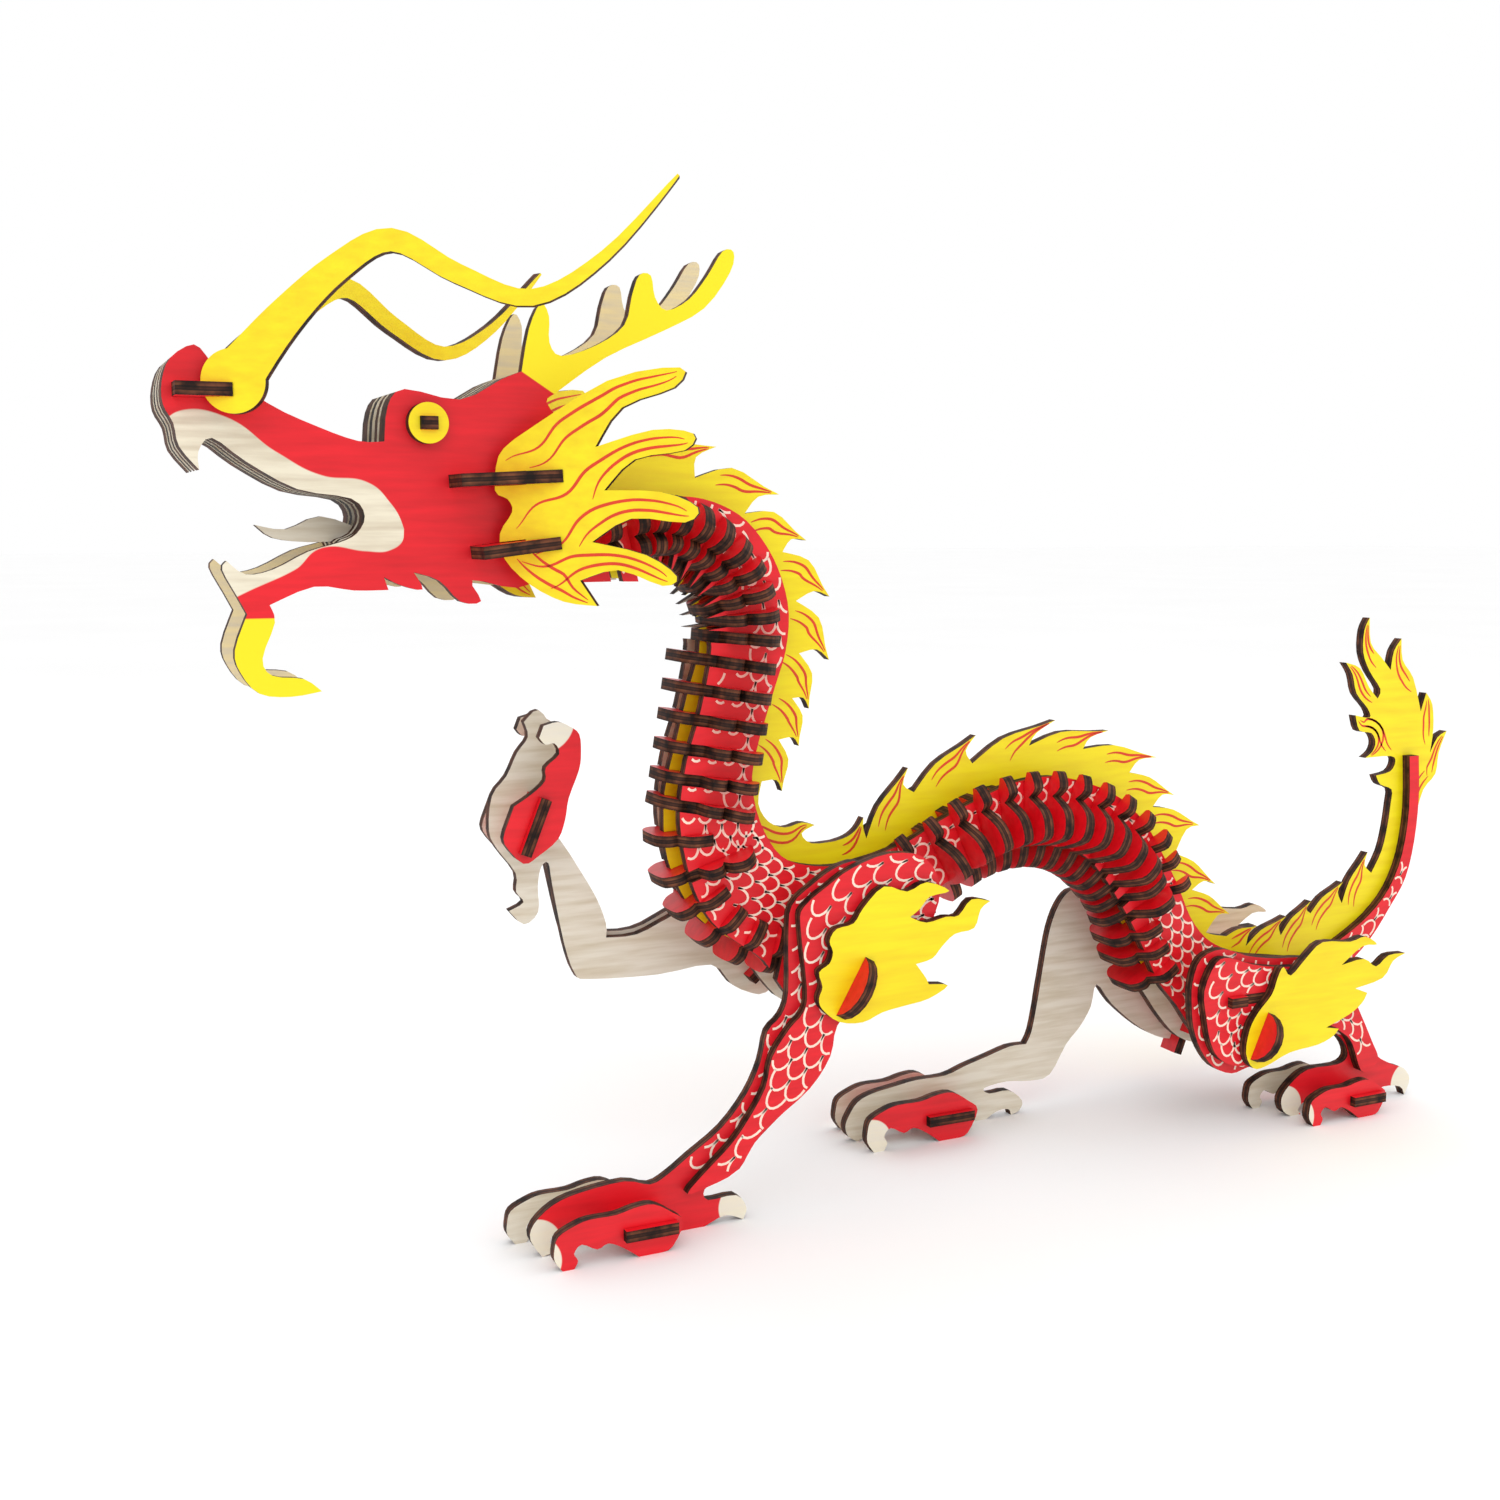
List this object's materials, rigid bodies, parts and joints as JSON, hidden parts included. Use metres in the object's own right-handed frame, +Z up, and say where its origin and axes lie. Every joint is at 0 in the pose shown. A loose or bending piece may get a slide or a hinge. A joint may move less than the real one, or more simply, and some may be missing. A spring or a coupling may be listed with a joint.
{
  "type": "dragon puzzle model",
  "caption": "Free-standing slot-together plywood dragon with ribbed S-curved neck and back, flame crest, open jaws, long whiskers, antlers and clawed legs.",
  "frame": {"origin": "centre of the bounding box's footprint, on the table under the belly", "axes": "+X from the nose to the tail, +Z up, -Y the dragon's left side, which has the forward planted leg"},
  "size_m": [0.3982, 0.1118, 0.2562],
  "materials": {
    "red_board": "printed satin",
    "yellow_board": "printed satin",
    "bare_board": "bare plywood"
  },
  "bodies": {
    "root": {"crest_front": "yellow_board", "crest_mid": "yellow_board", "crest_tail": "yellow_board", "tail_flame": "yellow_board", "neck_side_left": "red_board", "neck_side_right": "red_board", "back_side_left": "red_board", "back_side_right": "red_board", "tail_side_left": "red_board", "tail_side_right": "red_board", "head_side_left": "red_board", "head_side_right": "red_board", "head_inner_left": "bare_board", "head_inner_right": "bare_board", "head_core": "bare_board", "tongue": "bare_board", "nose_bar": "red_board", "whisker_left": "yellow_board", "whisker_right": "yellow_board", "mane_left": "yellow_board", "mane_right": "yellow_board", "mane_bar_upper": "red_board", "mane_bar_lower": "red_board", "eye_ring_left": "yellow_board", "eye_ring_right": "yellow_board", "eye_bar": "red_board", "front_left_leg_inner": "red_board", "front_left_leg_outer": "red_board", "front_left_claws": "red_board", "front_left_foot_bar": "red_board", "front_right_leg_inner": "red_board", "front_right_leg_outer": "red_board", "front_right_claws": "red_board", "front_right_foot_bar": "red_board", "rear_left_leg_inner": "red_board", "rear_left_leg_outer": "red_board", "rear_left_claws": "red_board", "rear_left_foot_bar": "red_board", "rear_right_leg_inner": "red_board", "rear_right_leg_outer": "red_board", "rear_right_claws": "red_board", "rear_right_foot_bar": "red_board", "shoulder_flame_left": "yellow_board", "shoulder_flame_right": "yellow_board", "hip_flame_left": "yellow_board", "hip_flame_right": "yellow_board", "shoulder_peg": "red_board", "hip_peg": "red_board", "hip_bar": "red_board", "shoulder_tab": "red_board", "hip_tab": "red_board", "neck_ribs_upper": "red_board", "neck_ribs_lower": "red_board", "chest_ribs": "red_board", "back_ribs_front": "red_board", "back_ribs_rear": "red_board", "hip_ribs": "red_board"}
  },
  "joints": []
}
